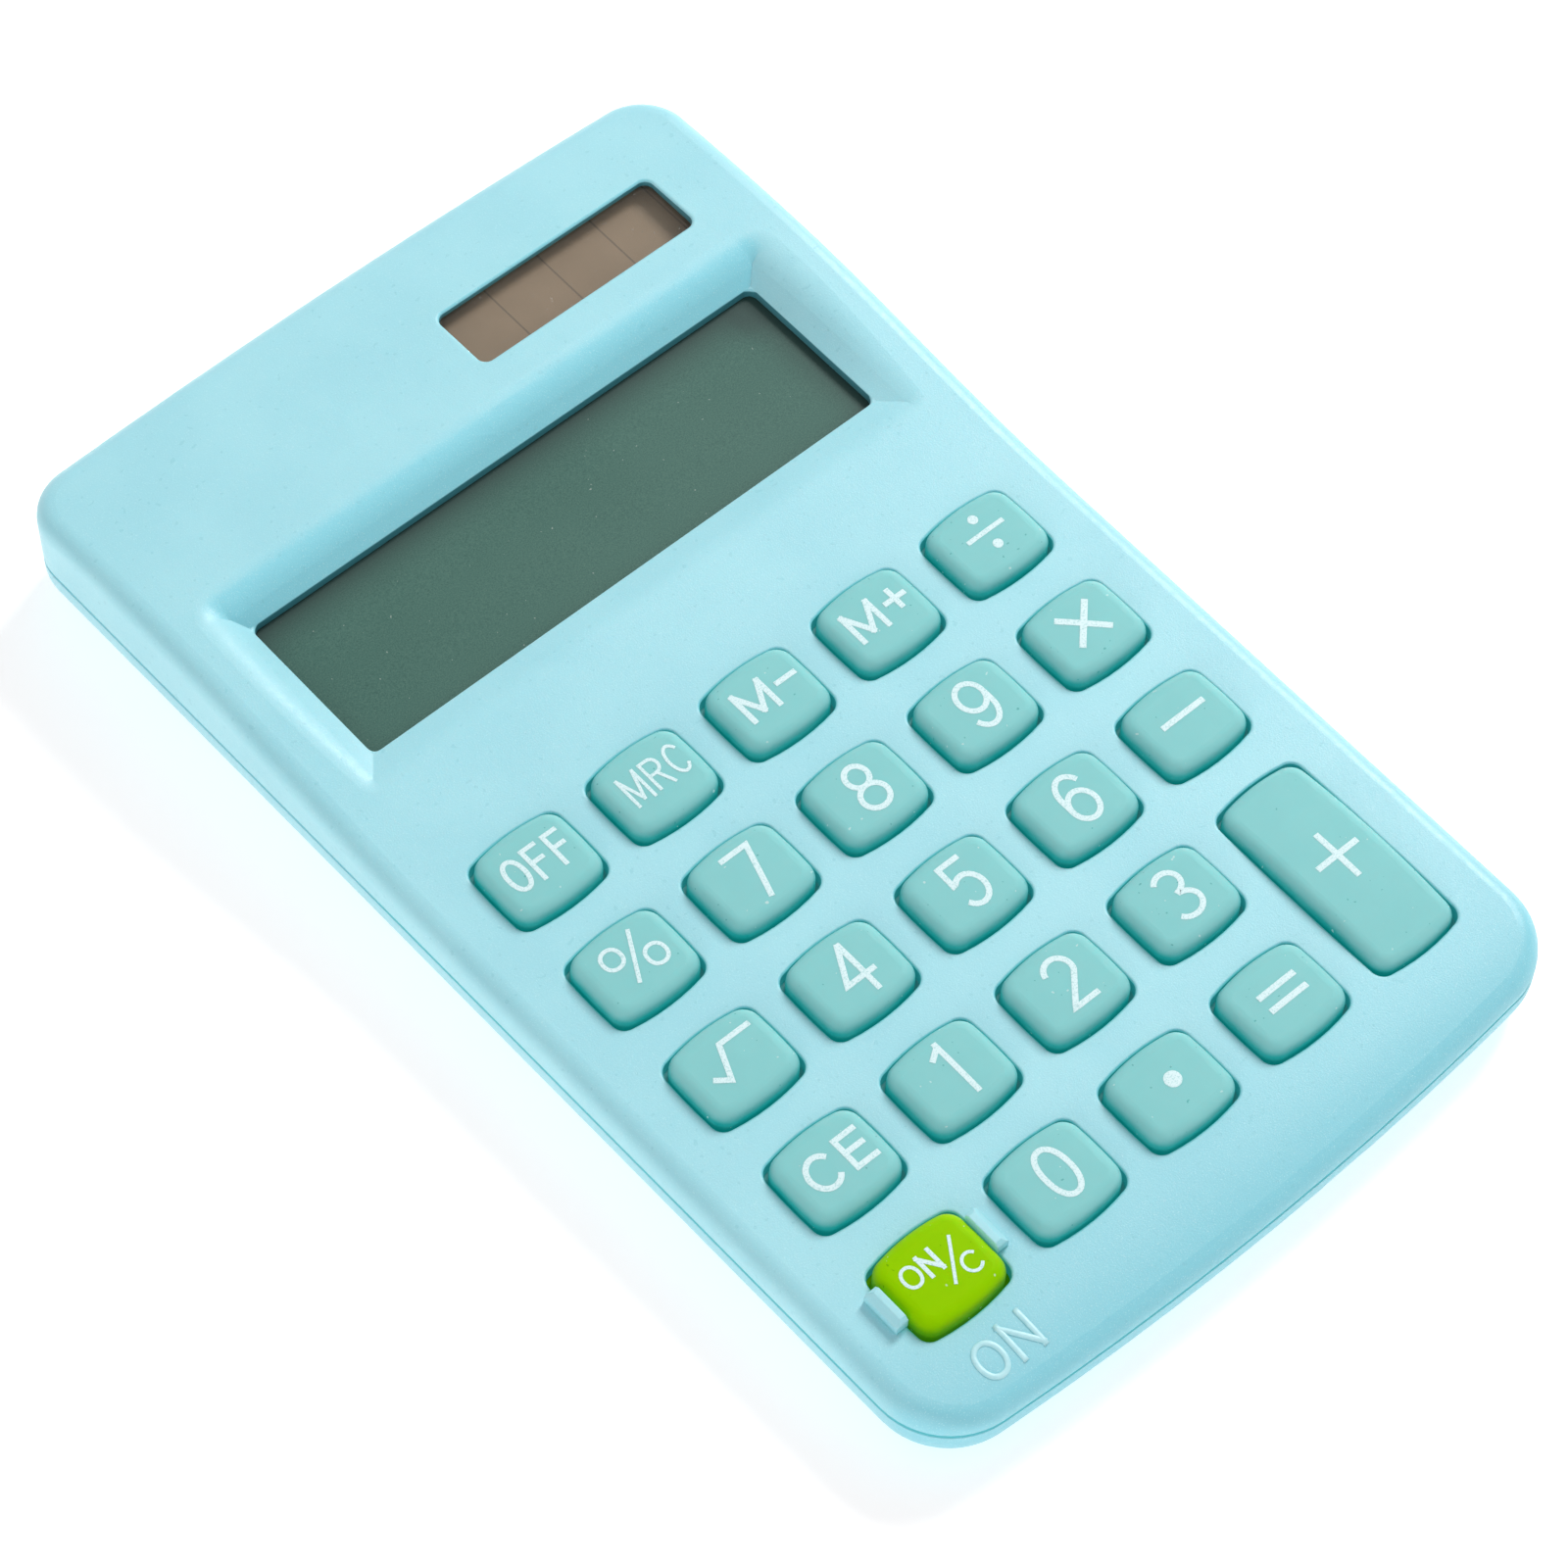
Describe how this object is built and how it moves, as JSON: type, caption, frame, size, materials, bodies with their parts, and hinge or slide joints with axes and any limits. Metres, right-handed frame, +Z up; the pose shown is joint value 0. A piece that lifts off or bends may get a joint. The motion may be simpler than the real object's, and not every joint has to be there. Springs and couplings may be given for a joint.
{
  "type": "pocket calculator",
  "caption": "Slim wedge-shaped pocket calculator with domed silicone keys, a sunken display, a solar cell strip and a screwed battery cover on the back.",
  "frame": {"origin": "centre of the flat underside of the rear shell", "axes": "+X to the right across the keypad, +Y along the length towards the display, +Z up out of the underside towards the keys"},
  "size_m": [0.0696, 0.116, 0.0115],
  "materials": {
    "case_plastic": "satin moulded plastic with a fine spark texture",
    "key_silicone": "soft-touch translucent silicone",
    "on_key_silicone": "soft-touch translucent silicone",
    "clear_silicone": "thin silicone sheet",
    "lcd_glass": "anti-glare polariser over glass",
    "white_plastic": "moulded",
    "ribbon_film": "polyimide film",
    "clear_glass": "polished",
    "solar_film": "amorphous silicon film",
    "board_laminate": "solder-masked laminate",
    "pad_carbon": "printed carbon",
    "black_resin": "cured epoxy",
    "component_body": "lacquered",
    "screw_steel": "zinc plated",
    "battery_steel": "nickel plated",
    "contact_metal": "nickel-plated spring strip",
    "black_insulation": "flexible insulation",
    "red_insulation": "flexible insulation"
  },
  "bodies": {
    "case": {"front_shell": "case_plastic", "rear_shell": "case_plastic", "battery_cover": "case_plastic", "battery_cover_screw": "screw_steel", "case_screws": "screw_steel", "board_screws": "screw_steel", "lcd_panel": "lcd_glass", "lcd_frame": "white_plastic", "lcd_ribbon": "ribbon_film", "solar_glass": "clear_glass", "solar_cell": "solar_film", "circuit_board": "board_laminate", "contact_pads": "pad_carbon", "chip_blob": "black_resin", "capacitor": "component_body", "resistor": "component_body", "key_mat": "clear_silicone", "battery": "battery_steel", "battery_contact_positive": "contact_metal", "battery_contact_negative": "contact_metal", "battery_wire_black": "black_insulation", "battery_wire_red": "red_insulation", "solar_wire_black": "black_insulation", "solar_wire_red": "red_insulation"},
    "key_off": {"key_off": "key_silicone"},
    "key_mrc": {"key_mrc": "key_silicone"},
    "key_memory_minus": {"key_memory_minus": "key_silicone"},
    "key_memory_plus": {"key_memory_plus": "key_silicone"},
    "key_divide": {"key_divide": "key_silicone"},
    "key_percent": {"key_percent": "key_silicone"},
    "key_7": {"key_7": "key_silicone"},
    "key_8": {"key_8": "key_silicone"},
    "key_9": {"key_9": "key_silicone"},
    "key_times": {"key_times": "key_silicone"},
    "key_root": {"key_root": "key_silicone"},
    "key_4": {"key_4": "key_silicone"},
    "key_5": {"key_5": "key_silicone"},
    "key_6": {"key_6": "key_silicone"},
    "key_minus": {"key_minus": "key_silicone"},
    "key_ce": {"key_ce": "key_silicone"},
    "key_1": {"key_1": "key_silicone"},
    "key_2": {"key_2": "key_silicone"},
    "key_3": {"key_3": "key_silicone"},
    "key_plus": {"key_plus": "key_silicone"},
    "key_on_clear": {"key_on_clear": "on_key_silicone"},
    "key_0": {"key_0": "key_silicone"},
    "key_point": {"key_point": "key_silicone"},
    "key_equals": {"key_equals": "key_silicone"}
  },
  "joints": [
    {"name": "press_off", "type": "slide", "parent": "case", "child": "key_off", "axis": [0, 0.0209, -0.9998], "range_m": [0, 0.001], "stiffness_N_per_m": 40, "springref_m": -0.002},
    {"name": "press_mrc", "type": "slide", "parent": "case", "child": "key_mrc", "axis": [0, 0.0209, -0.9998], "range_m": [0, 0.001], "stiffness_N_per_m": 40, "springref_m": -0.002},
    {"name": "press_memory_minus", "type": "slide", "parent": "case", "child": "key_memory_minus", "axis": [0, 0.0209, -0.9998], "range_m": [0, 0.001], "stiffness_N_per_m": 40, "springref_m": -0.002},
    {"name": "press_memory_plus", "type": "slide", "parent": "case", "child": "key_memory_plus", "axis": [0, 0.0209, -0.9998], "range_m": [0, 0.001], "stiffness_N_per_m": 40, "springref_m": -0.002},
    {"name": "press_divide", "type": "slide", "parent": "case", "child": "key_divide", "axis": [0, 0.0209, -0.9998], "range_m": [0, 0.001], "stiffness_N_per_m": 40, "springref_m": -0.002},
    {"name": "press_percent", "type": "slide", "parent": "case", "child": "key_percent", "axis": [0, 0.0209, -0.9998], "range_m": [0, 0.001], "stiffness_N_per_m": 40, "springref_m": -0.002},
    {"name": "press_7", "type": "slide", "parent": "case", "child": "key_7", "axis": [0, 0.0209, -0.9998], "range_m": [0, 0.001], "stiffness_N_per_m": 40, "springref_m": -0.002},
    {"name": "press_8", "type": "slide", "parent": "case", "child": "key_8", "axis": [0, 0.0209, -0.9998], "range_m": [0, 0.001], "stiffness_N_per_m": 40, "springref_m": -0.002},
    {"name": "press_9", "type": "slide", "parent": "case", "child": "key_9", "axis": [0, 0.0209, -0.9998], "range_m": [0, 0.001], "stiffness_N_per_m": 40, "springref_m": -0.002},
    {"name": "press_times", "type": "slide", "parent": "case", "child": "key_times", "axis": [0, 0.0209, -0.9998], "range_m": [0, 0.001], "stiffness_N_per_m": 40, "springref_m": -0.002},
    {"name": "press_root", "type": "slide", "parent": "case", "child": "key_root", "axis": [0, 0.0209, -0.9998], "range_m": [0, 0.001], "stiffness_N_per_m": 40, "springref_m": -0.002},
    {"name": "press_4", "type": "slide", "parent": "case", "child": "key_4", "axis": [0, 0.0209, -0.9998], "range_m": [0, 0.001], "stiffness_N_per_m": 40, "springref_m": -0.002},
    {"name": "press_5", "type": "slide", "parent": "case", "child": "key_5", "axis": [0, 0.0209, -0.9998], "range_m": [0, 0.001], "stiffness_N_per_m": 40, "springref_m": -0.002},
    {"name": "press_6", "type": "slide", "parent": "case", "child": "key_6", "axis": [0, 0.0209, -0.9998], "range_m": [0, 0.001], "stiffness_N_per_m": 40, "springref_m": -0.002},
    {"name": "press_minus", "type": "slide", "parent": "case", "child": "key_minus", "axis": [0, 0.0209, -0.9998], "range_m": [0, 0.001], "stiffness_N_per_m": 40, "springref_m": -0.002},
    {"name": "press_ce", "type": "slide", "parent": "case", "child": "key_ce", "axis": [0, 0.0209, -0.9998], "range_m": [0, 0.001], "stiffness_N_per_m": 40, "springref_m": -0.002},
    {"name": "press_1", "type": "slide", "parent": "case", "child": "key_1", "axis": [0, 0.0209, -0.9998], "range_m": [0, 0.001], "stiffness_N_per_m": 40, "springref_m": -0.002},
    {"name": "press_2", "type": "slide", "parent": "case", "child": "key_2", "axis": [0, 0.0209, -0.9998], "range_m": [0, 0.001], "stiffness_N_per_m": 40, "springref_m": -0.002},
    {"name": "press_3", "type": "slide", "parent": "case", "child": "key_3", "axis": [0, 0.0209, -0.9998], "range_m": [0, 0.001], "stiffness_N_per_m": 40, "springref_m": -0.002},
    {"name": "press_plus", "type": "slide", "parent": "case", "child": "key_plus", "axis": [0, 0.0209, -0.9998], "range_m": [0, 0.001], "stiffness_N_per_m": 40, "springref_m": -0.002},
    {"name": "press_on_clear", "type": "slide", "parent": "case", "child": "key_on_clear", "axis": [0, 0.0209, -0.9998], "range_m": [0, 0.001], "stiffness_N_per_m": 40, "springref_m": -0.002},
    {"name": "press_0", "type": "slide", "parent": "case", "child": "key_0", "axis": [0, 0.0209, -0.9998], "range_m": [0, 0.001], "stiffness_N_per_m": 40, "springref_m": -0.002},
    {"name": "press_point", "type": "slide", "parent": "case", "child": "key_point", "axis": [0, 0.0209, -0.9998], "range_m": [0, 0.001], "stiffness_N_per_m": 40, "springref_m": -0.002},
    {"name": "press_equals", "type": "slide", "parent": "case", "child": "key_equals", "axis": [0, 0.0209, -0.9998], "range_m": [0, 0.001], "stiffness_N_per_m": 40, "springref_m": -0.002}
  ]
}
